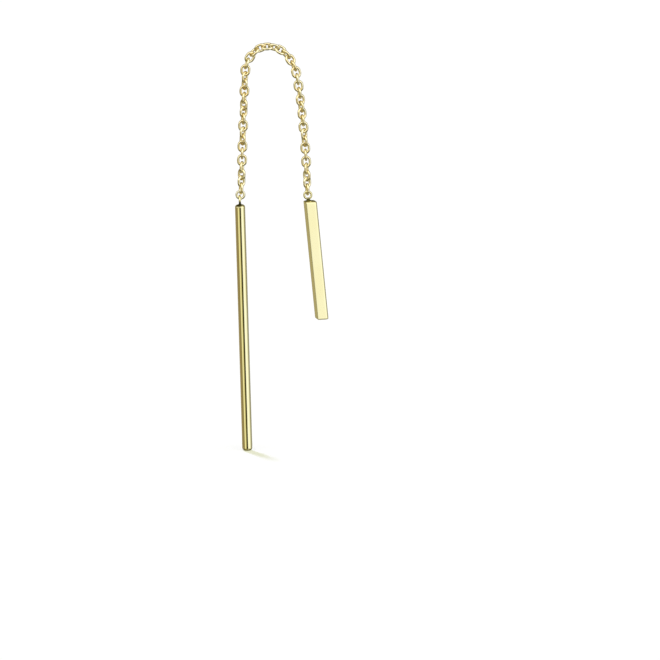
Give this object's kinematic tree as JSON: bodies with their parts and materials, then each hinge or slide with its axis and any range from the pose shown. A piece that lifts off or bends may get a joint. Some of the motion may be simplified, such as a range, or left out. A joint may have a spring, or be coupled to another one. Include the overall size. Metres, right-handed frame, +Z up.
{
  "type": "bar threader earring",
  "caption": "Pull-through earring: a long round post and a short square bar that hang from the two ends of a cable chain draped over a crown.",
  "frame": {"origin": "on the chain's centre line at the top of its crown, where it passes through the ear piercing", "axes": "+Z up, +X from the post's leg of the chain towards the short bar's leg, -Y towards the viewer"},
  "size_m": [0.0104, 0.0016, 0.0459],
  "materials": {
    "polished_gold": "mirror-polished pale yellow gold",
    "chain_gold": "polished yellow gold wire"
  },
  "bodies": {
    "chain": {"chain": "chain_gold", "post_ring": "chain_gold"},
    "post": {"post": "polished_gold"},
    "short_bar": {"short_bar": "polished_gold"}
  },
  "joints": [
    {"name": "post_swing", "type": "hinge", "parent": "chain", "child": "post", "pos_m": [-0.00313, 0, -0.01713], "axis": [0.9996, 0, 0.0279], "range_deg": [-70, 70]},
    {"name": "bar_swing", "type": "hinge", "parent": "chain", "child": "short_bar", "pos_m": [0.00433, 0, -0.01619], "axis": [0.9952, 0, 0.0976], "range_deg": [-70, 70]}
  ]
}
